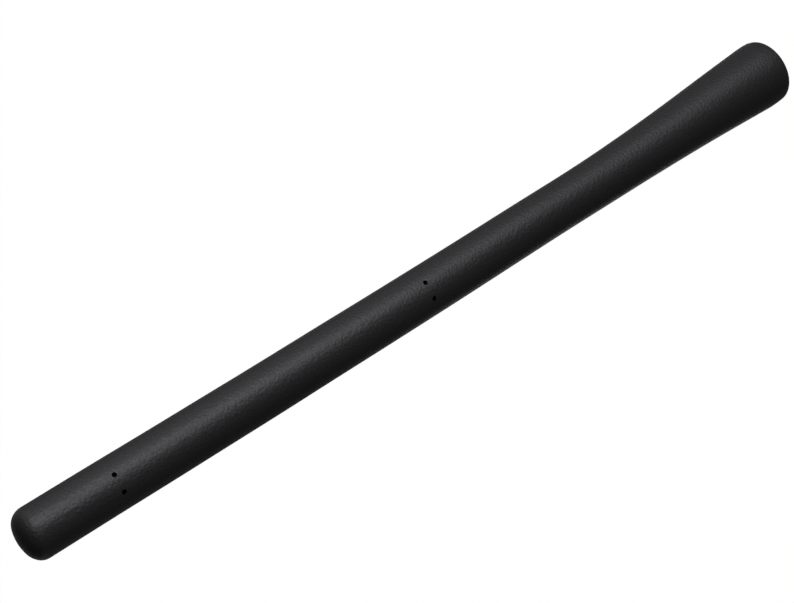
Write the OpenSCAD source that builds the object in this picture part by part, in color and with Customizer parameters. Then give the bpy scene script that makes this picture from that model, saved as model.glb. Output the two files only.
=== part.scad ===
// Short rubber mast aerial for a car roof or wing: a wound glass-fibre core with a
// threaded brass foot, overmoulded with one rubber sheath. The mast stands along +Z.
// Z = 0 is the plane of the sheath's rim, which seats on the aerial's base on the car.
// All sizes are in millimetres.

/* [Sheath] */
// Overall length of the sheath, from the rim to the top of the tip
mast_l = 200; // [150:1:260]
// Diameter of the even part of the mast
shaft_d = 10.6; // [9.6:0.1:12]
// Radius of the domed end face of the tip
tip_dome_r = 9.4; // [7:0.1:20]
// Radius of the edge between the shaft and the tip's dome
tip_edge_r = 3.2; // [1:0.1:4]

/* [Flare and rim] */
// Largest diameter, just above the rim
flare_d = 15; // [14:0.1:18]
// Height of the largest diameter above the rim
flare_belly_h = 3.2; // [2:0.1:6]
// Radius of the barrel-shaped belly at the largest diameter
flare_belly_r = 27; // [15:1:60]
// Slope of the flare against the mast's axis, in degrees
flare_slope = 3.1; // [2:0.1:6]
// Radius of the long hollow curve that runs the flare into the shaft
flare_blend_r = 860; // [100:10:1200]
// Radius of the rim's outer edge
rim_edge_r = 1; // [0.4:0.1:1.6]
// Chamfer where the rim opens into the recess
rim_chamfer = 0.3; // [0.1:0.1:0.6]

/* [Recess round the stud] */
// Diameter of the recess that takes the boss of the aerial's base
recess_d = 8.2; // [7.6:0.1:9]
// Depth of the recess, from the rim to the face of the ferrule's flange
recess_depth = 7; // [5:0.1:9]

/* [Locating-pin holes] */
// Diameter of the holes that the mould's locating pins leave
pin_hole_d = 1; // [0.6:0.1:1.4]
// Distance of each pin's centre from the mast's middle plane
pin_offset = 1.83; // [1.2:0.01:2.2]
// Distance from the top of the tip to the upper pins
pin_from_tip = 20.3; // [14:0.1:40]
// Distance between the upper and the lower pins
pin_spacing = 75; // [40:1:100]

/* [Ferrule] */
// Outside diameter of the stud's thread, M5
stud_d = 5; // [4:0.5:6]
// How far the stud's end stays behind the rim
stud_setback = 0.8; // [0.3:0.1:2]
// Chamfer on the stud's end
stud_chamfer = 0.5; // [0.2:0.1:0.8]
// Depth of the thread's run-out groove under the flange
runout_depth = 0.55; // [0.3:0.05:0.8]
// Height of the run-out groove
runout_h = 0.8; // [0.5:0.1:1.2]
// How far the flange reaches past the wall of the recess that it closes
flange_ledge = 0.5; // [0.3:0.1:1]
// Thickness of the flange
flange_h = 1.6; // [1:0.1:2.5]
// Diameter of the knurled barrel and of the band above it
barrel_d = 7.6; // [7.2:0.1:8]
// Length of the knurled barrel
barrel_h = 7.4; // [5:0.1:10]
// Number of grooves in the straight knurl
knurl_count = 20; // [12:1:28]
// Diameter of the round grooves in the knurl
knurl_groove_d = 0.6; // [0.4:0.1:0.9]
// Plain land between the flange and the start of the knurl
knurl_land = 0.4; // [0.2:0.1:1]
// Diameter at the bottom of the gripping groove
grip_groove_d = 6; // [5.6:0.1:6.8]
// Height of the gripping groove
grip_groove_h = 2; // [1:0.1:3]
// Height of the plain band above the gripping groove
band_h = 3; // [2:0.1:5]
// Height of the cone from the band down to the sleeve
cone_h = 1; // [0.5:0.1:2]
// Height of the slotted neck that grips the rod
neck_h = 5; // [3:0.1:8]
// Wall of the neck
neck_wall = 0.65; // [0.5:0.05:0.9]
// Solid brass left between the flange's face and the point of the rod's socket
socket_floor = 2.8; // [1.8:0.1:6]
// Included angle of the drill point at the socket's end, in degrees
drill_angle = 118; // [90:1:140]

/* [Core rod] */
// Diameter of the glass-fibre rod
rod_d = 4; // [3:0.1:4.4]
// Chamfer on the rod's two ends
rod_chamfer = 0.3; // [0.1:0.1:0.6]
// Distance from the top of the rod to the top of the tip
rod_from_tip = 10; // [6:0.1:20]

/* [Winding] */
// Diameter of the enamelled copper wire
wire_d = 0.6; // [0.4:0.05:0.7]
// Number of close turns above the neck
close_turns = 14; // [6:1:20]
// Pitch of the close turns
close_pitch = 1; // [0.8:0.05:1.6]
// Number of open turns above the close ones
open_turns = 30; // [16:1:40]
// Distance from the end of the winding to the top of the rod
wire_from_rod_end = 3; // [1:0.5:10]
// Length of the straight tail that lies in the neck's slot
tail_l = 4; // [2:0.1:6]

/* [Heat-shrink sleeve] */
// Wall of the sleeve
sleeve_wall = 0.4; // [0.25:0.05:0.6]

/* [Solder] */
// Width of the neck's slot, which the solder fills
slot_w = 1.2; // [1:0.05:1.6]
// Solder under the end of the wire's tail
solder_floor = 0.6; // [0.3:0.1:1]
// How far the solder stays below the top of the neck
solder_drop = 0.6; // [0.2:0.1:1.5]

/* [Clearances] */
// Gap between the rod and its socket, which the glue fills
rod_gap = 0.03; // [0.01:0.01:0.1]
// Gap between the rod and the wire at the middle of a straight facet
winding_gap = 0.02; // [0.01:0.01:0.1]
// Gap between the winding and the sleeve
sleeve_gap = 0.05; // [0.02:0.01:0.2]
// Gap between the wire's tail and the solder round it, taken up by the enamel
solder_gap = 0.02; // [0.01:0.01:0.05]

/* [Hidden] */

$fn = 96;
// Straight facets in each turn of the wire, and sides of its section
wire_steps = 12;
wire_sides = 6;
// Points along each curve of the sheath's outline
arc_steps = 12;
// Largest share of the flare's cone that the blend into the shaft may take
blend_share = 0.95;
// How far a cutting shape runs past the surface that it opens
past = 1;

shaft_r = shaft_d / 2;
flare_r = flare_d / 2;
recess_r = recess_d / 2;
rod_r = rod_d / 2;
wire_r = wire_d / 2;
socket_r = rod_r + rod_gap;
neck_r = socket_r + neck_wall;

// The middle of a facet lies closer to the axis than its ends, so the winding is wide
// enough for the facets to clear the rod.
winding_r = (rod_r + winding_gap + wire_r) / cos(180 / wire_steps);
sleeve_in_r = max(winding_r + wire_r, neck_r) + sleeve_gap;
sleeve_out_r = sleeve_in_r + sleeve_wall;

flange_d = recess_d + 2 * flange_ledge;
flange_z = recess_depth;
barrel_z = flange_z + flange_h;
groove_z = barrel_z + barrel_h;
// The knurl's grooves run out into the gripping groove.
knurl_h = barrel_h - knurl_land + grip_groove_h / 2;
band_z = groove_z + grip_groove_h;
cone_z = band_z + band_h;
neck_z = cone_z + cone_h;
neck_top = neck_z + neck_h;
drill_point_z = flange_z + socket_floor;
socket_z = drill_point_z + socket_r / tan(drill_angle / 2);

rod_top = mast_l - rod_from_tip;
sleeve_top = rod_top + sleeve_gap + sleeve_wall;

tail_z = neck_top - tail_l;
slot_depth = tail_l + solder_floor;
winding_z = neck_top + wire_r + sleeve_gap;
open_z = winding_z + close_turns * close_pitch;
winding_top = rod_top - wire_from_rod_end;
open_pitch = (winding_top - open_z) / open_turns;

pin_z = [mast_l - pin_from_tip, mast_l - pin_from_tip - pin_spacing];

// Points on a circle round c with radius r, from angle a0 to angle a1. A curve that
// follows on from another one starts at its point 1, because they share point 0.
function arc(c, r, a0, a1, start = 0, steps = arc_steps) =
    [for (i = [start:steps]) let (a = a0 + (a1 - a0) * i / steps) c + r * [cos(a), sin(a)]];

// Rim: the small edge curve and the belly share a tangent at the angle belly_start.
belly_c = [flare_r - flare_belly_r, flare_belly_h];
belly_start = asin((flare_belly_h - rim_edge_r) / (flare_belly_r - rim_edge_r));
rim_edge_c = belly_c + (flare_belly_r - rim_edge_r) * [cos(belly_start), -sin(belly_start)];

// Flare: a cone that leaves the belly at the flare's slope. It would meet the shaft at
// flare_top, and the blend curve rounds that corner.
cone_start = belly_c + flare_belly_r * [cos(flare_slope), sin(flare_slope)];
flare_top = cone_start[1] + (cone_start[0] - shaft_r) / tan(flare_slope);
blend_room = (cone_start[0] - shaft_r) / sin(flare_slope);
blend_r = min(flare_blend_r, blend_share * blend_room / tan(flare_slope / 2));
blend_l = blend_r * tan(flare_slope / 2);
blend_c = [shaft_r + blend_r, flare_top + blend_l];

// Tip: the edge curve touches the shaft and the dome from inside.
dome_c = [0, mast_l - tip_dome_r];
tip_edge_x = shaft_r - tip_edge_r;
tip_edge_drop = sqrt(pow(tip_dome_r - tip_edge_r, 2) - pow(tip_edge_x, 2));
tip_edge_c = [tip_edge_x, dome_c[1] + tip_edge_drop];
tip_joint = acos(tip_edge_x / (tip_dome_r - tip_edge_r));

// Half of the sheath's outline, from the axis at the rim to the axis at the tip.
sheath_outline = concat(
    [[0, 0]],
    arc(rim_edge_c, rim_edge_r, -90, -belly_start),
    arc(belly_c, flare_belly_r, -belly_start, flare_slope, start = 1),
    arc(blend_c, blend_r, 180 + flare_slope, 180),
    arc(tip_edge_c, tip_edge_r, 0, tip_joint),
    arc(dome_c, tip_dome_r, tip_joint, 90, start = 1)
);

// Half of the ferrule's turned outline above the stud, without its socket. The rubber
// follows it, so the sheath is cut with it too.
module ferrule_outline() {
    polygon([
        [0, flange_z],
        [flange_d / 2, flange_z],
        [flange_d / 2, barrel_z],
        [barrel_d / 2, barrel_z],
        [barrel_d / 2, groove_z],
        [grip_groove_d / 2, groove_z],
        [grip_groove_d / 2, band_z],
        [barrel_d / 2, band_z],
        [barrel_d / 2, cone_z],
        [sleeve_out_r, neck_z],
        [neck_r, neck_z],
        [neck_r, neck_top],
        [0, neck_top]
    ]);
}

// The turned and knurled foot that the rubber grips.
module gripped_foot() {
    difference() {
        rotate_extrude() ferrule_outline();
        for (i = [0:knurl_count - 1])
            rotate([0, 0, (i + 0.5) * 360 / knurl_count])
                translate([barrel_d / 2, 0, barrel_z + knurl_land])
                    cylinder(d = knurl_groove_d, h = knurl_h, $fn = 24);
    }
}

// One straight hole of a locating pin, from the sleeve out through the sheath.
module pin_hole(x, z) {
    translate([x, 0, z])
        rotate([-90, 0, 0])
            cylinder(d = pin_hole_d, h = shaft_r + past, $fn = 32);
}

// The slot through one side of the neck, where the wire's tail is soldered.
module neck_slot() {
    translate([rod_r, -slot_w / 2, neck_top - slot_depth])
        cube([neck_wall + past, slot_w, slot_depth + past]);
}

module sheath() {
    color([0.13, 0.13, 0.14]) difference() {
        rotate_extrude() polygon(sheath_outline);
        rotate_extrude() polygon([
            [0, -past],
            [recess_r + rim_chamfer + past, -past],
            [recess_r, rim_chamfer],
            [recess_r, recess_depth],
            [0, recess_depth]
        ]);
        gripped_foot();
        translate([0, 0, neck_z])
            cylinder(r = sleeve_out_r, h = sleeve_top - neck_z);
        for (z = pin_z, x = [-pin_offset, pin_offset], side = [0, 180])
            rotate([0, 0, side]) pin_hole(x, z);
    }
}

module core_rod() {
    bottom = socket_z + rod_gap;
    color([0.86, 0.82, 0.62]) rotate_extrude() polygon([
        [0, bottom],
        [rod_r - rod_chamfer, bottom],
        [rod_r, bottom + rod_chamfer],
        [rod_r, rod_top - rod_chamfer],
        [rod_r - rod_chamfer, rod_top],
        [0, rod_top]
    ]);
}

// Height of the wire's middle after some turns, close ones first.
function winding_height(turn) = turn <= close_turns
    ? winding_z + turn * close_pitch
    : open_z + (turn - close_turns) * open_pitch;

// Corner k of the wire's section at a place on its path. The section turns with the
// path about the mast's axis and stands upright in the winding.
function winding_corner(turn, k) =
    let (a = 360 * turn, b = 360 * k / wire_sides, r = winding_r + wire_r * cos(b))
    [r * cos(a), r * sin(a), winding_height(turn) + wire_r * sin(b)];

// Corner k of the section of the straight tail at height z.
function tail_corner(z, k) =
    let (b = 360 * k / wire_sides)
    [winding_r + wire_r * cos(b), -wire_r * sin(b), z];

wire_turns = close_turns + open_turns;
wire_rings = concat(
    [for (z = [tail_z, winding_z - wire_r]) [for (k = [0:wire_sides - 1]) tail_corner(z, k)]],
    [for (i = [1:wire_turns * wire_steps])
        [for (k = [0:wire_sides - 1]) winding_corner(i / wire_steps, k)]]
);

module antenna_wire() {
    last = len(wire_rings) - 1;
    sides = [for (i = [0:last - 1], k = [0:wire_sides - 1])
        let (n = (k + 1) % wire_sides, a = i * wire_sides, b = a + wire_sides)
        each [[a + n, b + n, b + k], [a + n, b + k, a + k]]];
    start = [for (k = [wire_sides - 1:-1:0]) k];
    end = [for (k = [0:wire_sides - 1]) last * wire_sides + k];
    color([0.72, 0.38, 0.16])
        polyhedron(
            points = [for (ring = wire_rings) each ring],
            faces = concat([start], sides, [end]),
            convexity = 10
        );
}

module shrink_sleeve() {
    color([0.08, 0.08, 0.09]) rotate_extrude() polygon([
        [sleeve_in_r, neck_z],
        [sleeve_out_r, neck_z],
        [sleeve_out_r, sleeve_top],
        [0, sleeve_top],
        [0, rod_top + sleeve_gap],
        [sleeve_in_r, rod_top + sleeve_gap]
    ]);
}

module base_ferrule() {
    stud_r = stud_d / 2;
    color([0.80, 0.64, 0.32]) difference() {
        union() {
            gripped_foot();
            rotate_extrude() polygon([
                [0, stud_setback],
                [stud_r - stud_chamfer, stud_setback],
                [stud_r, stud_setback + stud_chamfer],
                [stud_r, flange_z - runout_h],
                [stud_r - runout_depth, flange_z - runout_h],
                [stud_r - runout_depth, barrel_z],
                [0, barrel_z]
            ]);
        }
        rotate_extrude() polygon([
            [0, drill_point_z],
            [socket_r, socket_z],
            [socket_r, neck_top + past],
            [0, neck_top + past]
        ]);
        neck_slot();
    }
}

// Solder fills the slot on both sides of the wire's tail and under its end. The tail
// lies against the rod, so nothing is left between them.
module solder_joint() {
    tail_channel_r = wire_r + solder_gap;
    color([0.75, 0.76, 0.78]) difference() {
        intersection() {
            neck_slot();
            cylinder(r = neck_r, h = neck_top - solder_drop);
        }
        cylinder(r = socket_r, h = neck_top);
        translate([winding_r, 0, tail_z - solder_gap])
            cylinder(r = tail_channel_r, h = slot_depth, $fn = wire_sides);
        translate([0, -tail_channel_r / 2, tail_z - solder_gap])
            cube([winding_r, tail_channel_r, slot_depth]);
    }
}

sheath();
core_rod();
antenna_wire();
shrink_sleeve();
base_ferrule();
solder_joint();
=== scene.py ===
# %% [markdown]
# # A short rubber mast aerial for a car
#
# On the car this is a bendy rubber whip, 200 mm long, whose stud screws into the threaded
# hole of the aerial's base. A wound glass-fibre core sits inside, and one shot of black
# rubber covers it. The scene makes every piece of it, inside and out, in the order of a
# build: values, helpers, pieces, finishes, then light and camera.

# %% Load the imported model
import math
from collections import Counter

import bpy
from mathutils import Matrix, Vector


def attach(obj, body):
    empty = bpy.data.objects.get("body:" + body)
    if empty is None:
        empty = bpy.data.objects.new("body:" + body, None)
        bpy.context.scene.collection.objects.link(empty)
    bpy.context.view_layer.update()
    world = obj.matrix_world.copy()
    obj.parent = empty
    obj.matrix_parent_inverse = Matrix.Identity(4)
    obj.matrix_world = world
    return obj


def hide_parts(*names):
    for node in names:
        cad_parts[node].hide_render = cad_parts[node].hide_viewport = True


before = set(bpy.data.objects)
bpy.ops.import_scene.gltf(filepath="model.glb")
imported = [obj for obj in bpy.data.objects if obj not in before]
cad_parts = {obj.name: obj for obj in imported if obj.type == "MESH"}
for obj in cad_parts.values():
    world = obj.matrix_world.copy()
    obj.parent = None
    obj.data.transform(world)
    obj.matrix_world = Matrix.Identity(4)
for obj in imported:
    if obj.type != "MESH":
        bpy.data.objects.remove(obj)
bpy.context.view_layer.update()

# %% [markdown]
# ## Sizes
#
# The sizes are the same as the solids have, written in millimetres because that is how
# such a part is drawn. Blender works in metres here, so one factor turns them over.

# %% The aerial's sizes
MM = 0.001

MAST_L = 200.0
SHAFT_R = 5.3
TIP_DOME_R = 9.4
TIP_EDGE_R = 3.2
FLARE_R = 7.5
BELLY_H = 3.2
BELLY_R = 27.0
FLARE_SLOPE = 3.1
BLEND_R = 860.0
RIM_EDGE_R = 1.0
RIM_CHAMFER = 0.3
RECESS_R = 4.1
RECESS_DEPTH = 7.0

PIN_HOLE_R = 0.5
PIN_OFFSET = 1.83
PIN_HEIGHTS = (179.7, 104.7)

FLANGE_R = 4.6
BARREL_Z = 8.6
BARREL_R = 3.8
GROOVE_Z = 16.0
GRIP_GROOVE_R = 3.0
BAND_Z = 18.0
CONE_Z = 21.0
NECK_Z = 22.0
NECK_TOP = 27.0
NECK_R = 2.68
SLEEVE_IN_R = 2.752
SLEEVE_OUT_R = 3.152
SLEEVE_TOP = 190.45

ROD_R = 2.0
ROD_BOTTOM = 11.05
ROD_TOP = 190.0

# %% [markdown]
# ## Helpers for turned shapes
#
# Almost every piece of an aerial is round, as if it came off a lathe. One way to make
# such a shape is to draw half of its outline and spin it. Another is to start from one
# ring and draw it up station by station, as a potter does. The second way is used here,
# because each station is one extrude and one resize, and its rings stay where the later
# bend needs them.

# %% Selecting, and drawing a ring along an outline
def start_clean():
    """Leaves edit mode and deselects everything, so that an operator meets nothing else."""
    if bpy.context.object and bpy.context.object.mode != "OBJECT":
        bpy.ops.object.mode_set(mode="OBJECT")
    bpy.ops.object.select_all(action="DESELECT")


def curve_points(centre, radius, start, end, steps):
    """Points along a round edge of an outline, angles in degrees."""
    angles = [math.radians(start + (end - start) * i / steps) for i in range(steps + 1)]
    return [(centre[0] + radius * math.cos(a), centre[1] + radius * math.sin(a)) for a in angles]


def draw_ring(name, stations, sides, close_start=True, pole_end=False):
    """Draws one ring through (radius, height) stations in millimetres and closes its ends."""
    start_clean()
    radius, height = stations[0]
    fill = "TRIFAN" if close_start else "NOTHING"
    bpy.ops.mesh.primitive_circle_add(
        vertices=sides, radius=radius * MM, location=(0, 0, height * MM), fill_type=fill
    )
    piece = bpy.context.object
    piece.name = name
    bpy.ops.object.transform_apply(location=True, rotation=True, scale=True)
    bpy.ops.object.mode_set(mode="EDIT")
    bpy.context.tool_settings.mesh_select_mode = (False, True, False)
    bpy.ops.mesh.select_all(action="DESELECT")
    bpy.ops.object.mode_set(mode="OBJECT")
    for edge in piece.data.edges:
        ends = [piece.data.vertices[v].co for v in edge.vertices]
        edge.select = all(math.hypot(p.x, p.y) > radius * MM * 0.99 for p in ends)
    bpy.ops.object.mode_set(mode="EDIT")
    for new_radius, new_height in stations[1:]:
        bpy.ops.mesh.extrude_region_move(
            TRANSFORM_OT_translate={"value": (0, 0, (new_height - height) * MM)}
        )
        share = new_radius / radius
        bpy.ops.transform.resize(value=(share, share, 1), center_override=(0, 0, new_height * MM))
        radius, height = new_radius, new_height
    if pole_end:
        bpy.ops.mesh.merge(type="CENTER")
    else:
        bpy.ops.mesh.edge_face_add()
    bpy.ops.mesh.select_all(action="SELECT")
    bpy.ops.mesh.normals_make_consistent(inside=False)
    bpy.ops.object.mode_set(mode="OBJECT")
    return piece


def apply_modifiers(piece):
    """Applies what is on the piece's modifier stack, in order."""
    start_clean()
    piece.select_set(True)
    bpy.context.view_layer.objects.active = piece
    for modifier in list(piece.modifiers):
        bpy.ops.object.modifier_apply(modifier=modifier.name)


def cut_or_join(piece, tool, how):
    """Cuts the tool out of the piece, or joins the two, and throws the tool away."""
    step = piece.modifiers.new(how.title(), "BOOLEAN")
    step.operation = how
    step.solver = "EXACT"
    step.object = tool
    apply_modifiers(piece)
    bpy.data.objects.remove(tool, do_unlink=True)


def smooth_round(piece, degrees=32):
    """Smooth shading on the curves, with the real corners left sharp."""
    start_clean()
    piece.select_set(True)
    bpy.context.view_layer.objects.active = piece
    bpy.ops.object.shade_smooth_by_angle(angle=math.radians(degrees))


def clean_seams(piece, reach=0.004):
    """Welds the tiny edges that a cut leaves, up to reach in millimetres."""
    start_clean()
    piece.select_set(True)
    bpy.context.view_layer.objects.active = piece
    bpy.ops.object.mode_set(mode="EDIT")
    bpy.ops.mesh.select_all(action="SELECT")
    bpy.ops.mesh.remove_doubles(threshold=reach * MM)
    bpy.ops.mesh.dissolve_degenerate(threshold=reach * MM)
    bpy.ops.mesh.normals_make_consistent(inside=False)
    bpy.ops.object.mode_set(mode="OBJECT")


def report_piece(piece):
    """Prints what a piece measures, and the edges that don't join exactly two faces."""
    size = [round(side * 1000, 2) for side in piece.dimensions]
    joined = Counter(key for face in piece.data.polygons for key in face.edge_keys)
    faulty = sum(faces != 2 for faces in joined.values())
    print(piece.name, "mm:", size, "faces:", len(piece.data.polygons), "open edges:", faulty)


# %% [markdown]
# ## The rubber sheath's outline
#
# The sheath is what you see of the aerial: an even shaft, a rounded tip, and a foot that
# flares out over its lowest third and ends in a rounded rim. The mould's maker draws it
# from arcs that touch each other, so the shine runs on without a kink. The outline here
# follows the same arcs. It starts deep inside, at the top of the core's space, runs down
# round the ferrule, out over the rim, and up to the tip.

# %% Outside of the sheath, from the rim to the tip
belly = (FLARE_R - BELLY_R, BELLY_H)
belly_start = math.degrees(math.asin((BELLY_H - RIM_EDGE_R) / (BELLY_R - RIM_EDGE_R)))
reach = BELLY_R - RIM_EDGE_R
rim_edge = (
    belly[0] + reach * math.cos(math.radians(belly_start)),
    belly[1] - reach * math.sin(math.radians(belly_start)),
)
slope = math.radians(FLARE_SLOPE)
cone_start = (belly[0] + BELLY_R * math.cos(slope), belly[1] + BELLY_R * math.sin(slope))
flare_top = cone_start[1] + (cone_start[0] - SHAFT_R) / math.tan(slope)
blend = (SHAFT_R + BLEND_R, flare_top + BLEND_R * math.tan(slope / 2))
cone_end = (blend[0] - BLEND_R * math.cos(slope), blend[1] - BLEND_R * math.sin(slope))

tip_reach = TIP_DOME_R - TIP_EDGE_R
tip_edge_x = SHAFT_R - TIP_EDGE_R
dome = (0.0, MAST_L - TIP_DOME_R)
tip_edge = (tip_edge_x, dome[1] + math.sqrt(tip_reach**2 - tip_edge_x**2))
tip_joint = math.degrees(math.acos(tip_edge_x / tip_reach))

RING_STEP = 3.0
LAST_RING = 89.2

outside = [(RECESS_R + RIM_CHAMFER, 0.0)]
outside += curve_points(rim_edge, RIM_EDGE_R, -90, -belly_start, 10)
outside += curve_points(belly, BELLY_R, -belly_start, FLARE_SLOPE, 6)[1:]
for share in (0.2, 0.4, 0.6, 0.8):
    outside.append((
        cone_start[0] + (cone_end[0] - cone_start[0]) * share,
        cone_start[1] + (cone_end[1] - cone_start[1]) * share,
    ))
outside += curve_points(blend, BLEND_R, 180 + FLARE_SLOPE, 180, 16)
height = blend[1] + RING_STEP
while height < tip_edge[1] - RING_STEP / 3:
    outside.append((SHAFT_R, height))
    height += RING_STEP
outside += curve_points(tip_edge, TIP_EDGE_R, 0, tip_joint, 12)
outside += curve_points(dome, TIP_DOME_R, tip_joint, LAST_RING, 8)[1:]
print("outside stations:", len(outside), "rim edge at", [round(c, 3) for c in rim_edge])

# %% [markdown]
# Inside, the rubber touches the core all over, because it was injected round it. Its
# inner wall is the sleeve's skin above, and the ferrule's cone, band, groove, barrel and
# flange below. The rings there can be few: nobody sees them, but the model stays true.

# %% Inside of the sheath, from the top of the sleeve down to the rim
inside = [(SLEEVE_OUT_R, SLEEVE_TOP)]
inside += [(SLEEVE_OUT_R, NECK_Z + (SLEEVE_TOP - NECK_Z) * k / 28) for k in range(27, 0, -1)]
inside += [
    (SLEEVE_OUT_R, NECK_Z),
    (BARREL_R, CONE_Z),
    (BARREL_R, BAND_Z),
    (GRIP_GROOVE_R, BAND_Z),
    (GRIP_GROOVE_R, GROOVE_Z),
    (BARREL_R, GROOVE_Z),
    (BARREL_R, BARREL_Z),
    (FLANGE_R, BARREL_Z),
    (FLANGE_R, RECESS_DEPTH),
    (RECESS_R, RECESS_DEPTH),
    (RECESS_R, RECESS_DEPTH / 2),
    (RECESS_R, RIM_CHAMFER),
]
rubber_sheath = draw_ring("rubber_sheath", inside + outside, 128, pole_end=True)
report_piece(rubber_sheath)

# %% [markdown]
# Where the two halves of the mould meet, a faint raised line stays on the rubber. It runs
# up both sides and over the tip, square to the pins. It could be a bump in the material,
# but it also shows in the outline, so the outer points that stand on that plane are moved
# outward a little. The ring has a point on each side there, so no new edge is needed.
# Inner walls stand within 5 mm of the axis and end below the tip, which tells them apart.

# %% Raise the mould's parting line
PARTING_LINE = 0.06
SKIN_X = 5.0
SKIN_Z = SLEEVE_TOP + 0.2

start_clean()
rubber_sheath.select_set(True)
bpy.context.view_layer.objects.active = rubber_sheath
bpy.ops.object.mode_set(mode="EDIT")
bpy.context.tool_settings.mesh_select_mode = (True, False, False)
bpy.ops.mesh.select_all(action="DESELECT")
bpy.ops.object.mode_set(mode="OBJECT")
chosen = 0
for vertex in rubber_sheath.data.vertices:
    outer = abs(vertex.co.x) > SKIN_X * MM or vertex.co.z > SKIN_Z * MM
    vertex.select = outer and abs(vertex.co.y) < 0.001 * MM
    chosen += vertex.select
bpy.ops.object.mode_set(mode="EDIT")
spread = 1 + PARTING_LINE / SHAFT_R
bpy.ops.transform.resize(value=(spread, 1, 1), center_override=(0, 0, 0))
bpy.ops.object.mode_set(mode="OBJECT")
print("points on the parting line:", chosen)
report_piece(rubber_sheath)

# %% [markdown]
# ## The locating pins' holes
#
# While the rubber is injected, eight thin steel pins hold the core in the middle of the
# mould: four from each side, two by two. They leave eight small round holes, and the
# sleeve's skin is their floor. The pins are parallel, so the holes run straight across
# the mast and meet its round side at a slant. A straight rod through the mast cuts two
# facing holes at once, and four rods cut all eight.

# %% Cut the eight holes
def pin_rod(x, z):
    start_clean()
    bpy.ops.mesh.primitive_cylinder_add(
        vertices=40,
        radius=PIN_HOLE_R * MM,
        depth=4 * SHAFT_R * MM,
        location=(x * MM, 0, z * MM),
        rotation=(math.radians(90), 0, 0),
    )
    rod = bpy.context.object
    bpy.ops.object.transform_apply(location=True, rotation=True, scale=True)
    return rod


for pin_z in PIN_HEIGHTS:
    for pin_x in (-PIN_OFFSET, PIN_OFFSET):
        cut_or_join(rubber_sheath, pin_rod(pin_x, pin_z), "DIFFERENCE")
report_piece(rubber_sheath)

# %% [markdown]
# ## The bend of a used aerial
#
# The mould makes a straight mast, and the solids are straight. The one in the picture
# has been lying about: its middle stands less than a millimetre to one side. A lattice
# is a cage of points that carries a mesh with it. Nine levels, 25 mm apart, are each
# pushed over by what was measured there, and every piece goes through the same cage, so
# the core stays in the middle of its rubber.

# %% A cage that bends every piece alike
BEND = (0.0, 0.347, 0.798, 0.838, 0.877, 0.739, 0.567, 0.269, 0.0)
CAGE_WIDTH = 30.0

start_clean()
bpy.ops.object.add(type="LATTICE", location=(0, 0, MAST_L / 2 * MM))
bend_cage = bpy.context.object
bend_cage.name = "bend_cage"
bend_cage.scale = (CAGE_WIDTH * MM, CAGE_WIDTH * MM, MAST_L * MM)
cage = bend_cage.data
cage.points_u, cage.points_v, cage.points_w = 2, 2, len(BEND)
cage.interpolation_type_u = cage.interpolation_type_v = "KEY_LINEAR"
cage.interpolation_type_w = "KEY_CARDINAL"
for i, point in enumerate(cage.points):
    level = i // 4
    shift = point.co_deform.copy()
    shift.x -= BEND[level] * MM / bend_cage.scale.x
    point.co_deform = shift


def bend(piece):
    """Sends a finished straight piece through the cage."""
    step = piece.modifiers.new("Bend", "LATTICE")
    step.object = bend_cage
    apply_modifiers(piece)


bend(rubber_sheath)
smooth_round(rubber_sheath)
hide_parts("sheath")
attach(rubber_sheath, "root")
middle = min(rubber_sheath.data.vertices, key=lambda v: abs(v.co.z - 0.1) + abs(v.co.y) - v.co.x)
print("outer side at mid height, mm:", round(middle.co.x * 1000, 3))

# %% [markdown]
# ## The core: rod, winding and sleeve
#
# None of these three shows from outside, but they are the aerial: the rod is its spring,
# and the wire round it catches the waves. A rod is the simplest turned piece, so it is
# drawn from a ring too, with a ring every few millimetres for the bend to hold on to.

# %% Glass-fibre rod
def even_heights(first, last, count):
    """Heights at an even spacing, without the first and the last."""
    return [first + (last - first) * k / count for k in range(1, count)]


ROD_CHAMFER = 0.3
rod_outline = [(ROD_R - ROD_CHAMFER, ROD_BOTTOM), (ROD_R, ROD_BOTTOM + ROD_CHAMFER)]
rod_outline += [(ROD_R, z) for z in even_heights(ROD_BOTTOM, ROD_TOP, 30)]
rod_outline += [(ROD_R, ROD_TOP - ROD_CHAMFER), (ROD_R - ROD_CHAMFER, ROD_TOP)]
fibre_rod = draw_ring("fibre_rod", rod_outline, 48)
bend(fibre_rod)
smooth_round(fibre_rod)
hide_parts("core_rod")
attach(fibre_rod, "root")
report_piece(fibre_rod)

# %% [markdown]
# The wire is wound in two paces: close turns near the base load the mast, and open turns
# above them radiate. Its tail runs straight down into the ferrule's slot. A winding with
# two paces is awkward for a screw modifier, which knows only one, so this piece is a
# curve through computed points with a round section, made a mesh at the end.

# %% Copper winding
WIRE_R = 0.3
WINDING_R = 2.402
TAIL_Z = 23.0
WINDING_Z = 27.35
CLOSE_TURNS, CLOSE_PITCH = 14, 1.0
OPEN_TURNS, WINDING_TOP = 30, 187.0
STEPS = 24

open_z = WINDING_Z + CLOSE_TURNS * CLOSE_PITCH
open_pitch = (WINDING_TOP - open_z) / OPEN_TURNS
route = [(WINDING_R, 0.0, TAIL_Z), (WINDING_R, 0.0, WINDING_Z - WIRE_R)]
for step in range(1, (CLOSE_TURNS + OPEN_TURNS) * STEPS + 1):
    turn = step / STEPS
    angle = 2 * math.pi * turn
    height = WINDING_Z + min(turn, CLOSE_TURNS) * CLOSE_PITCH
    height += max(turn - CLOSE_TURNS, 0) * open_pitch
    route.append((WINDING_R * math.cos(angle), WINDING_R * math.sin(angle), height))

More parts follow.
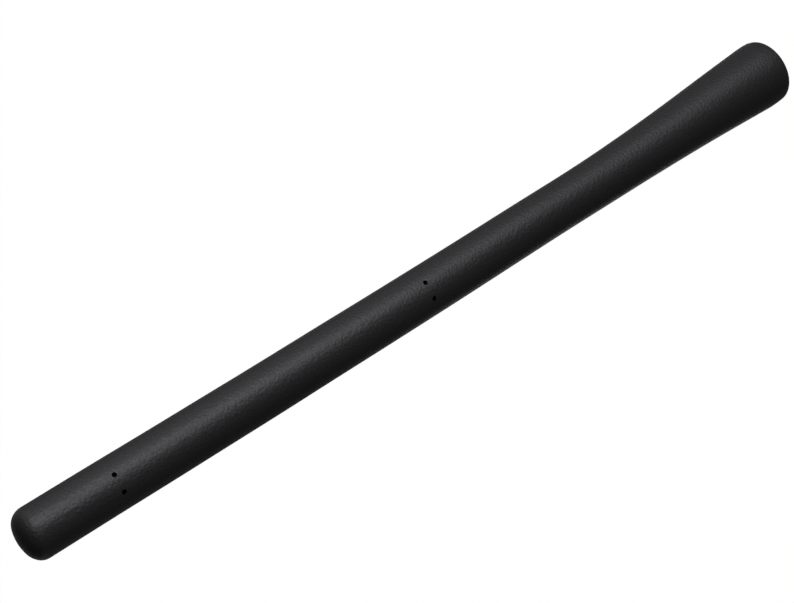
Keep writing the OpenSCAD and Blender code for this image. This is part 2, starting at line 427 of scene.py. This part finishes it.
wire_path = bpy.data.curves.new("winding_path", "CURVE")
wire_path.dimensions = "3D"
wire_path.bevel_depth = WIRE_R * MM
wire_path.bevel_resolution = 2
wire_path.use_fill_caps = True
line = wire_path.splines.new("POLY")
line.points.add(len(route) - 1)
for point, (x, y, z) in zip(line.points, route):
    point.co = (x * MM, y * MM, z * MM, 1)
winding = bpy.data.objects.new("copper_winding", wire_path)
bpy.context.collection.objects.link(winding)
start_clean()
winding.select_set(True)
bpy.context.view_layer.objects.active = winding
bpy.ops.object.convert(target="MESH")
winding = bpy.context.object
bpy.ops.object.mode_set(mode="EDIT")
bpy.ops.mesh.select_all(action="SELECT")
bpy.ops.mesh.remove_doubles(threshold=0.001 * MM)
bpy.ops.mesh.normals_make_consistent(inside=False)
bpy.ops.object.mode_set(mode="OBJECT")
bend(winding)
smooth_round(winding, 50)
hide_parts("antenna_wire")
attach(winding, "root")
report_piece(winding)

# %% [markdown]
# Before moulding, a heat-shrink sleeve is pulled over rod and winding and shrunk, so the
# hot rubber can't push the turns about. It is a long cup: inner wall down, across its
# rim, and outer wall up to a closed top. What you see at the bottom of a pin hole is this
# skin.

# %% Heat-shrink sleeve
cup_in_top = ROD_TOP + 0.05
sleeve_outline = [(SLEEVE_IN_R, cup_in_top)]
sleeve_outline += [(SLEEVE_IN_R, z) for z in even_heights(cup_in_top, NECK_Z, 28)]
sleeve_outline += [(SLEEVE_IN_R, NECK_Z), (SLEEVE_OUT_R, NECK_Z)]
sleeve_outline += [(SLEEVE_OUT_R, z) for z in even_heights(NECK_Z, SLEEVE_TOP, 28)]
sleeve_outline += [(SLEEVE_OUT_R, SLEEVE_TOP)]
core_sleeve = draw_ring("core_sleeve", sleeve_outline, 64)
bend(core_sleeve)
smooth_round(core_sleeve)
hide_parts("shrink_sleeve")
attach(core_sleeve, "root")
report_piece(core_sleeve)

# %% [markdown]
# ## The brass ferrule
#
# The ferrule is turned from bar: a stud that screws into the aerial's base, a flange that
# closes the mould, a knurled barrel with a groove that the rubber grips, and a slotted
# neck with a drilled socket for the rod. Seen from below, the stud and the flange are
# the only metal that shows. First comes the turning, in one outline from the stud's end
# up and back down into the socket.

# %% Turn the ferrule
FERRULE_SIDES = 96
STUD_R = 2.5
STUD_TIP_R = 1.55
THREAD_ROOT_R = 2.02
RUNOUT_R = 1.95
STUD_END = 0.8
RUNOUT_Z = 6.2
SOCKET_R = 2.03
SOCKET_Z = 11.02
DRILL_POINT_Z = 9.8

turning = [
    (STUD_TIP_R, STUD_END),
    (THREAD_ROOT_R, STUD_END + 0.3),
    (THREAD_ROOT_R, RUNOUT_Z),
    (RUNOUT_R, RUNOUT_Z + 0.1),
    (RUNOUT_R, RECESS_DEPTH - 0.15),
    (2.1, RECESS_DEPTH),
    (FLANGE_R, RECESS_DEPTH),
    (FLANGE_R, BARREL_Z),
    (BARREL_R, BARREL_Z),
    (BARREL_R, GROOVE_Z),
    (GRIP_GROOVE_R, GROOVE_Z),
    (GRIP_GROOVE_R, BAND_Z),
    (BARREL_R, BAND_Z),
    (BARREL_R, CONE_Z),
    (SLEEVE_OUT_R, NECK_Z),
    (NECK_R, NECK_Z),
    (NECK_R, NECK_TOP),
    (SOCKET_R, NECK_TOP),
    (SOCKET_R, SOCKET_Z),
    (0.05, DRILL_POINT_Z + 0.03),
]
stud_ferrule = draw_ring("stud_ferrule", turning, FERRULE_SIDES, pole_end=True)
report_piece(stud_ferrule)

# %% [markdown]
# The thread could be faked with a row of rings, but rings don't screw in. A real one is a
# single ridge that climbs 0.8 mm with each turn. Its section is drawn as four corners,
# a screw modifier winds it up a little too long at both ends, and the ends are filled. It
# starts half a side round, so that none of its edges meets an edge of the stud.

# %% Wind the M5 thread
PITCH = 0.8
THREAD_TURNS = 9
TURN_STEPS = 48
THREAD_START = -0.4
RIDGE_FOOT_R = 1.9
RIDGE_FOOT = 0.38
RIDGE_CREST = 0.06

start_clean()
bpy.ops.mesh.primitive_plane_add(size=MM, location=(0, 0, 0))
ridge = bpy.context.object
ridge.name = "thread_ridge"
corners = (
    (RIDGE_FOOT_R, -RIDGE_FOOT),
    (STUD_R, -RIDGE_CREST),
    (STUD_R, RIDGE_CREST),
    (RIDGE_FOOT_R, RIDGE_FOOT),
)
order = (0, 1, 3, 2)
turned = math.pi / FERRULE_SIDES
for index, (radius, height) in zip(order, corners):
    x, y = radius * math.cos(turned), radius * math.sin(turned)
    ridge.data.vertices[index].co = (x * MM, y * MM, (THREAD_START + height) * MM)
bpy.ops.object.mode_set(mode="EDIT")
bpy.ops.mesh.select_all(action="SELECT")
bpy.ops.mesh.delete(type="ONLY_FACE")
bpy.ops.object.mode_set(mode="OBJECT")
wind = ridge.modifiers.new("Wind", "SCREW")
wind.axis = "Z"
wind.angle = 2 * math.pi * THREAD_TURNS
wind.screw_offset = PITCH * THREAD_TURNS * MM
wind.steps = wind.render_steps = TURN_STEPS * THREAD_TURNS
wind.use_merge_vertices = False
apply_modifiers(ridge)
bpy.ops.object.mode_set(mode="EDIT")
bpy.context.tool_settings.mesh_select_mode = (False, True, False)
bpy.ops.mesh.select_all(action="DESELECT")
bpy.ops.mesh.select_non_manifold()
bpy.ops.mesh.edge_face_add()
bpy.ops.mesh.select_all(action="SELECT")
bpy.ops.mesh.normals_make_consistent(inside=False)
bpy.ops.object.mode_set(mode="OBJECT")
report_piece(ridge)

# %% [markdown]
# A die cuts the real thread, and its lead leaves a slant at the end and a run-out at the
# flange. Both come here from a plain turned solid, a little wider than the stud. What it
# shares with the ridge is the finished thread, which is then joined to the stud.

# %% Trim the thread and join it to the stud
ENVELOPE_IN_R = 1.7
TRIM = 0.02

envelope = [
    (ENVELOPE_IN_R, STUD_END + TRIM),
    (STUD_R - 0.5, STUD_END + TRIM),
    (STUD_R + TRIM, STUD_END + 0.54),
    (STUD_R + TRIM, RUNOUT_Z - 0.45),
    (THREAD_ROOT_R - TRIM, RUNOUT_Z - TRIM),
    (ENVELOPE_IN_R, RUNOUT_Z - TRIM),
]
cut_or_join(ridge, draw_ring("stud_envelope", envelope, FERRULE_SIDES), "INTERSECT")
report_piece(ridge)
cut_or_join(stud_ferrule, ridge, "UNION")
clean_seams(stud_ferrule)
report_piece(stud_ferrule)

# %% [markdown]
# The knurl is straight here: twenty round grooves cut along the barrel. One groove's
# cutter is modelled, and nineteen copies are set round the ferrule. All twenty are joined
# first, so that one cut does them all. The neck's slot is a plain saw cut.

# %% Cut the knurl and the slot
KNURLS = 20
KNURL_R = 0.3
KNURL_Z = (9.0, 17.0)

start_clean()
bpy.ops.mesh.primitive_cylinder_add(
    vertices=20,
    radius=KNURL_R * MM,
    depth=(KNURL_Z[1] - KNURL_Z[0]) * MM,
    location=(BARREL_R * MM, 0, sum(KNURL_Z) / 2 * MM),
)
knurl_cutter = bpy.context.object
bpy.ops.object.transform_apply(location=True, rotation=True, scale=True)
bpy.ops.object.mode_set(mode="EDIT")
bpy.ops.mesh.select_all(action="SELECT")
half_step = math.pi / KNURLS
bpy.ops.transform.rotate(value=half_step, orient_axis="Z", center_override=(0, 0, 0))
for copy in range(KNURLS - 1):
    bpy.ops.mesh.duplicate()
    bpy.ops.transform.rotate(value=2 * half_step, orient_axis="Z", center_override=(0, 0, 0))
bpy.ops.object.mode_set(mode="OBJECT")
cut_or_join(stud_ferrule, knurl_cutter, "DIFFERENCE")
clean_seams(stud_ferrule)
report_piece(stud_ferrule)

SLOT_W = 1.2
SLOT_X = (1.2, 3.7)
SLOT_Z = (22.4, 28.0)


def slot_block(name, width, inner, outer, low, high):
    """A block on the side of the neck where the wire's tail comes down."""
    start_clean()
    middle = ((inner + outer) / 2 * MM, 0, (low + high) / 2 * MM)
    bpy.ops.mesh.primitive_cube_add(size=1, location=middle)
    block = bpy.context.object
    block.name = name
    block.scale = ((outer - inner) * MM, width * MM, (high - low) * MM)
    bpy.ops.object.transform_apply(location=True, rotation=True, scale=True)
    return block


saw = slot_block("slot_saw", SLOT_W, *SLOT_X, *SLOT_Z)
cut_or_join(stud_ferrule, saw, "DIFFERENCE")
clean_seams(stud_ferrule)
bend(stud_ferrule)
smooth_round(stud_ferrule, 28)
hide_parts("base_ferrule")
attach(stud_ferrule, "root")
report_piece(stud_ferrule)

# %% [markdown]
# Solder fills the slot round the wire's tail. It is a block cut to the neck's round wall
# inside and out, with a channel for the tail, and its edges are rounded because solder
# flows.

# %% Solder the tail in
SOLDER_TOP = 26.4
SOLDER_X = (1.5, 3.0)
SOLDER_GAP = 0.02
SOLDER_FIT = 0.01
SOLDER_EDGE = 0.04
TOOL_Z = (20, 30)


def turned_tool(name, radius, low, high, x=0.0, sides=64):
    """A plain round tool for cutting, along the mast."""
    start_clean()
    middle = (x * MM, 0, (low + high) / 2 * MM)
    bpy.ops.mesh.primitive_cylinder_add(
        vertices=sides, radius=radius * MM, depth=(high - low) * MM, location=middle
    )
    tool = bpy.context.object
    tool.name = name
    bpy.ops.object.transform_apply(location=True, rotation=True, scale=True)
    return tool


solder_z = (SLOT_Z[0] + SOLDER_FIT, SOLDER_TOP)
channel_z = (TAIL_Z - SOLDER_GAP, TOOL_Z[1])
tail_solder = slot_block("tail_solder", SLOT_W - SOLDER_FIT, *SOLDER_X, *solder_z)
cut_or_join(tail_solder, turned_tool("neck_round", NECK_R + 0.04, *TOOL_Z), "INTERSECT")
cut_or_join(tail_solder, turned_tool("rod_round", SOCKET_R, *TOOL_Z), "DIFFERENCE")
channel = turned_tool("tail_round", WIRE_R + SOLDER_GAP, *channel_z, WINDING_R, 24)
cut_or_join(tail_solder, channel, "DIFFERENCE")
channel = slot_block("tail_way", WIRE_R, SOLDER_X[0], WINDING_R, *channel_z)
cut_or_join(tail_solder, channel, "DIFFERENCE")
soften = tail_solder.modifiers.new("Soften", "BEVEL")
soften.width = SOLDER_EDGE * MM
soften.segments = 2
soften.limit_method = "ANGLE"
apply_modifiers(tail_solder)
clean_seams(tail_solder)
bend(tail_solder)
smooth_round(tail_solder)
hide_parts("solder_joint")
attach(tail_solder, "root")
report_piece(tail_solder)

# %% [markdown]
# ## The finish of the rubber
#
# Moulded rubber is black with a satin shine. The mould was spark-eroded, so the skin has
# a fine even grain that breaks the shine up into specks. Here noise makes the grain as a
# bump, and a little of it goes into the roughness. The noise reads Object coordinates, in
# metres, so its scale is the real one.

# %% Black moulded rubber
def new_finish(name, colour, roughness, metallic=0.0):
    """A Principled material, with its nodes and links ready to add to."""
    finish = bpy.data.materials.new(name)
    finish.use_nodes = True
    nodes, links = finish.node_tree.nodes, finish.node_tree.links
    skin = nodes["Principled BSDF"]
    skin.inputs["Base Color"].default_value = (*colour, 1)
    skin.inputs["Roughness"].default_value = roughness
    skin.inputs["Metallic"].default_value = metallic
    return finish, nodes, links, skin


def add_noise(nodes, links, scale, detail, stretch=(1, 1, 1)):
    """Noise on Object coordinates, with a Mapping node for a drawn-out grain."""
    place = nodes.new("ShaderNodeTexCoord")
    mapping = nodes.new("ShaderNodeMapping")
    mapping.inputs["Scale"].default_value = stretch
    noise = nodes.new("ShaderNodeTexNoise")
    noise.inputs["Scale"].default_value = scale
    noise.inputs["Detail"].default_value = detail
    links.new(place.outputs["Object"], mapping.inputs["Vector"])
    links.new(mapping.outputs["Vector"], noise.inputs["Vector"])
    return noise


def add_range(nodes, links, source, low, high):
    """Turns a 0 to 1 pattern into the range that a socket needs."""
    spread = nodes.new("ShaderNodeMapRange")
    spread.inputs["To Min"].default_value = low
    spread.inputs["To Max"].default_value = high
    links.new(source, spread.inputs["Value"])
    return spread.outputs["Result"]


def add_bump(nodes, links, skin, height, depth_mm):
    """Raises the surface by up to depth_mm where the pattern is 1."""
    bump = nodes.new("ShaderNodeBump")
    bump.inputs["Distance"].default_value = depth_mm * MM
    links.new(height, bump.inputs["Height"])
    links.new(bump.outputs["Normal"], skin.inputs["Normal"])


rubber, nodes, links, skin = new_finish("moulded_rubber", (0.012, 0.012, 0.0125), 0.5)
skin.inputs["Specular IOR Level"].default_value = 0.3
grain = add_noise(nodes, links, 1800, 4)
add_bump(nodes, links, skin, grain.outputs["Fac"], 0.12)
links.new(add_range(nodes, links, grain.outputs["Fac"], 0.42, 0.58), skin.inputs["Roughness"])


def wear(piece, finish):
    """Gives the piece its finish, and nothing else."""
    piece.data.materials.clear()
    piece.data.materials.append(finish)


wear(rubber_sheath, rubber)

# %% [markdown]
# ## The finishes inside
#
# Each hidden piece has the finish that its own making leaves. Pulled glass fibre has
# long streaks of resin and glass along the rod, so its noise is squeezed across and
# drawn out along Z. Turned brass has fine rings instead, so its noise is drawn out round
# the axis. Enamelled wire is copper under a clear coat.

# %% Glass fibre, enamelled copper and heat-shrink
def add_tones(nodes, links, skin, source, dark, light):
    """Lets the colour wander between two tones."""
    tones = nodes.new("ShaderNodeValToRGB")
    tones.color_ramp.elements[0].position = 0.3
    tones.color_ramp.elements[0].color = (*dark, 1)
    tones.color_ramp.elements[1].position = 0.7
    tones.color_ramp.elements[1].color = (*light, 1)
    links.new(source, tones.inputs["Fac"])
    links.new(tones.outputs["Color"], skin.inputs["Base Color"])


fibre, nodes, links, skin = new_finish("pulled_glass_fibre", (0.72, 0.68, 0.45), 0.5)
streaks = add_noise(nodes, links, 3000, 4, (1, 1, 0.02))
add_tones(nodes, links, skin, streaks.outputs["Fac"], (0.55, 0.51, 0.30), (0.80, 0.77, 0.55))
links.new(add_range(nodes, links, streaks.outputs["Fac"], 0.35, 0.6), skin.inputs["Roughness"])
add_bump(nodes, links, skin, streaks.outputs["Fac"], 0.01)
wear(fibre_rod, fibre)

copper, nodes, links, skin = new_finish("enamelled_copper_wire", (0.60, 0.22, 0.09), 0.3, 1.0)
skin.inputs["Coat Weight"].default_value = 0.8
skin.inputs["Coat Roughness"].default_value = 0.08
drawn = add_noise(nodes, links, 1800, 2)
add_tones(nodes, links, skin, drawn.outputs["Fac"], (0.50, 0.16, 0.06), (0.68, 0.27, 0.12))
links.new(add_range(nodes, links, drawn.outputs["Fac"], 0.22, 0.4), skin.inputs["Roughness"])
wear(winding, copper)

shrink, nodes, links, skin = new_finish("shrunk_sleeve", (0.015, 0.015, 0.017), 0.5)
skin.inputs["Specular IOR Level"].default_value = 0.35
wrinkles = add_noise(nodes, links, 900, 3, (1, 1, 3))
links.new(add_range(nodes, links, wrinkles.outputs["Fac"], 0.4, 0.65), skin.inputs["Roughness"])
add_bump(nodes, links, skin, wrinkles.outputs["Fac"], 0.03)
wear(core_sleeve, shrink)

# %% [markdown]
# Brass goes brown where fingers and damp reach it, so broad noise sets the tone and the
# fine rings of the tool set the bump. Solder froze as it flowed: bright, with soft dents.

# %% Turned brass and solder
brass, nodes, links, skin = new_finish("turned_brass_bar", (0.72, 0.50, 0.20), 0.3, 1.0)
tarnish = add_noise(nodes, links, 700, 4)
add_tones(nodes, links, skin, tarnish.outputs["Fac"], (0.55, 0.36, 0.13), (0.78, 0.57, 0.25))
links.new(add_range(nodes, links, tarnish.outputs["Fac"], 0.2, 0.42), skin.inputs["Roughness"])
tool_marks = add_noise(nodes, links, 800, 3, (0.05, 0.05, 8))
add_bump(nodes, links, skin, tool_marks.outputs["Fac"], 0.008)
wear(stud_ferrule, brass)

tin, nodes, links, skin = new_finish("flowed_solder", (0.66, 0.67, 0.69), 0.25, 1.0)
flow = add_noise(nodes, links, 1500, 2)
links.new(add_range(nodes, links, flow.outputs["Fac"], 0.15, 0.4), skin.inputs["Roughness"])
add_bump(nodes, links, skin, flow.outputs["Fac"], 0.03)
wear(tail_solder, tin)
print("finishes:", sorted(finish.name for finish in bpy.data.materials if finish.users))

# %% [markdown]
# ## Studio: camera, floor and light
#
# The camera comes first, because the floor is fitted to its view. It stands where the
# photographer's stood: its place was found by fitting the mast's two edges, its tip and
# its rim to the picture, with an 85 mm lens. The picture was turned so that the mast lies
# along its diagonal, so the camera is rolled as well.

# %% Camera
LENS = 85
SENSOR_WIDTH = 36
MAST_ANGLE = 5.0
TILT = 25.815
ALONG, ASIDE, AWAY = 8.870, 0.399, 382.32
ROLL = (0.84558, 0.53384)

m = math.radians(MAST_ANGLE)
t = math.radians(TILT)
up = Vector((0, 0, 1))
toward = Vector((math.sin(m), -math.cos(m), 0))
aside = Vector((-math.cos(m), -math.sin(m), 0))
base_way = -math.cos(t) * up + math.sin(t) * toward
look = -math.sin(t) * up - math.cos(t) * toward
right = ROLL[0] * base_way + ROLL[1] * aside
down = -ROLL[1] * base_way + ROLL[0] * aside
place = Vector((0, 0, MAST_L / 2))
place += (ALONG * math.cos(t) + AWAY * math.sin(t)) * up
place += (AWAY * math.cos(t) - ALONG * math.sin(t)) * toward
place -= ASIDE * aside

start_clean()
bpy.ops.object.camera_add(location=place * MM)
camera = bpy.context.object
camera.name = "photo_camera"
camera.data.lens = LENS
camera.data.sensor_width = SENSOR_WIDTH
camera.data.clip_start = 0.01
turn = camera.matrix_world.copy()
for row in range(3):
    turn[row][0] = right[row]
    turn[row][1] = -down[row]
    turn[row][2] = -look[row]
camera.matrix_world = turn
bpy.context.scene.camera = camera
bpy.context.scene.view_settings.view_transform = "Standard"
print("camera at mm:", [round(c, 2) for c in place])

# %% [markdown]
# The picture is a cut-out on white, so the mast hangs over its floor and doesn't stand on
# it. The floor is a sheet, 25 mm below the rim, that only fills the camera's view: its
# corners are where the rays through the picture's corners meet that plane, with a little
# to spare. A higher or larger sheet would mirror itself as pale bands on the foot and
# along the rubber's edges.

# %% Sheet that fills the camera's view
PICTURE = (794, 603)
VIEW_MARGIN = 1.03
FLOOR_GAP = 25.0

half_width = SENSOR_WIDTH / LENS / 2 * VIEW_MARGIN
half_height = half_width * PICTURE[1] / PICTURE[0]
start_clean()
bpy.ops.mesh.primitive_plane_add(size=MM, location=(0, 0, 0))
floor = bpy.context.object
floor.name = "studio_floor"
for corner, (across, along) in zip(floor.data.vertices, ((1, 1), (1, -1), (-1, 1), (-1, -1))):
    ray = look + right * half_width * across + down * half_height * along
    spot = place + ray * ((-FLOOR_GAP - place.z) / ray.z)
    corner.co = spot * MM
    print("floor corner in mm:", [round(c, 1) for c in spot])

# %% [markdown]
# The sheet is white to the camera, in reflections and through clear things, and to all
# other rays it is plain matt white, so it still takes a shadow. Seen from below it is
# clear, so that the recess and its stud can be looked at.

# %% White floor finish
def ray_switch(nodes, links):
    """1 for what the camera, a reflection or a clear material looks at, 0 for other light."""
    path = nodes.new("ShaderNodeLightPath")
    first = nodes.new("ShaderNodeMath")
    second = nodes.new("ShaderNodeMath")
    first.operation = second.operation = "MAXIMUM"
    links.new(path.outputs["Is Camera Ray"], first.inputs[0])
    links.new(path.outputs["Is Glossy Ray"], first.inputs[1])
    links.new(first.outputs["Value"], second.inputs[0])
    links.new(path.outputs["Is Transmission Ray"], second.inputs[1])
    return second.outputs["Value"]


WHITE_GLOW = 1.025
GLOW_SHARE = 0.97

floor_finish, nodes, links, skin = new_finish("studio_white", (0.9, 0.9, 0.9), 0.9)
glow = nodes.new("ShaderNodeEmission")
glow.inputs["Strength"].default_value = WHITE_GLOW
share = nodes.new("ShaderNodeMath")
share.operation = "MULTIPLY"
share.inputs[1].default_value = GLOW_SHARE
mix = nodes.new("ShaderNodeMixShader")
links.new(ray_switch(nodes, links), share.inputs[0])
links.new(share.outputs["Value"], mix.inputs["Fac"])
links.new(skin.outputs["BSDF"], mix.inputs[1])
links.new(glow.outputs["Emission"], mix.inputs[2])
side = nodes.new("ShaderNodeNewGeometry")
clear = nodes.new("ShaderNodeBsdfTransparent")
sheet = nodes.new("ShaderNodeMixShader")
links.new(side.outputs["Backfacing"], sheet.inputs["Fac"])
links.new(mix.outputs["Shader"], sheet.inputs[1])
links.new(clear.outputs["BSDF"], sheet.inputs[2])
links.new(sheet.outputs["Shader"], nodes["Material Output"].inputs["Surface"])
wear(floor, floor_finish)

# %% [markdown]
# Beyond the sheet the room goes on. It is lighter behind than in front, above the horizon
# and below it, because what lies behind is what the sides of the rubber mirror. All other
# light from it is faint. The pairs below give the brightness in front and behind.

# %% World: light sweep behind, dim room in front
WALL = (0.15, 0.45)
GROUND = (0.055, 0.2)
CEILING = 0.06
OTHER_LIGHT = 0.10

world = bpy.context.scene.world or bpy.data.worlds.new("studio")
bpy.context.scene.world = world
world.use_nodes = True
nodes, links = world.node_tree.nodes, world.node_tree.links
nodes.clear()
where = nodes.new("ShaderNodeTexCoord")
split = nodes.new("ShaderNodeSeparateXYZ")
links.new(where.outputs["Generated"], split.inputs["Vector"])


def sweep(axis, start, end, low, high):
    """A soft step in the world's brightness along one direction."""
    step = nodes.new("ShaderNodeMapRange")
    step.inputs["From Min"].default_value = start
    step.inputs["From Max"].default_value = end
    step.inputs["To Min"].default_value = low
    step.inputs["To Max"].default_value = high
    links.new(split.outputs[axis], step.inputs["Value"])
    return step.outputs["Result"]


def blend_values(factor, first, second):
    """Mixes two brightnesses, each a number or a socket."""
    mix = nodes.new("ShaderNodeMix")
    mix.data_type = "FLOAT"
    links.new(factor, mix.inputs["Factor"])
    for name, value in (("A", first), ("B", second)):
        if isinstance(value, float):
            mix.inputs[name].default_value = value
        else:
            links.new(value, mix.inputs[name])
    return mix.outputs["Result"]


wall = sweep("Y", -0.2, 0.2, *WALL)
above = blend_values(sweep("Z", 0.15, 0.4, 0.0, 1.0), wall, CEILING)
ground = sweep("Y", -0.3, 0.5, *GROUND)
seen = blend_values(sweep("Z", -0.08, 0.02, 0.0, 1.0), ground, above)
level = blend_values(ray_switch(nodes, links), OTHER_LIGHT, seen)
sky = nodes.new("ShaderNodeBackground")
links.new(level, sky.inputs["Strength"])
world_out = nodes.new("ShaderNodeOutputWorld")
links.new(sky.outputs["Background"], world_out.inputs["Surface"])

# %% [markdown]
# The long shine is the picture of a soft box in the rubber. It is brightest at the tip
# and fades toward the foot, so the box is only 0.6 m tall and stands low, on the right in
# front. The rest of the room is dim, so the rubber's other side stays dark. A weak second
# box on the right lifts the edge beyond the shine.

# %% Lights
LAMP_COLOUR = (0.96, 0.955, 1.0)


def soft_box(name, azimuth, elevation, distance, width, tall, power):
    """A rectangular soft light that looks at the middle of the mast."""
    start_clean()
    a, e = math.radians(azimuth), math.radians(elevation)
    aim = Vector((0, 0, MAST_L / 2 * MM))
    away = Vector((math.cos(a) * math.cos(e), math.sin(a) * math.cos(e), math.sin(e)))
    bpy.ops.object.light_add(type="AREA", location=aim + away * distance)
    lamp = bpy.context.object
    lamp.name = name
    lamp.rotation_euler = away.to_track_quat("Z", "Y").to_euler()
    lamp.data.shape = "RECTANGLE"
    lamp.data.size = width
    lamp.data.size_y = tall
    lamp.data.energy = power
    lamp.data.color = LAMP_COLOUR
    return lamp


soft_box("key_light", -52, -3, 0.65, 0.35, 0.6, 5.4)
soft_box("side_light", 0, 0, 0.9, 0.5, 0.9, 1.6)

# %% [markdown]
# The cage has done its work and goes.

# %% Clear the tools away
bpy.data.objects.remove(bend_cage, do_unlink=True)
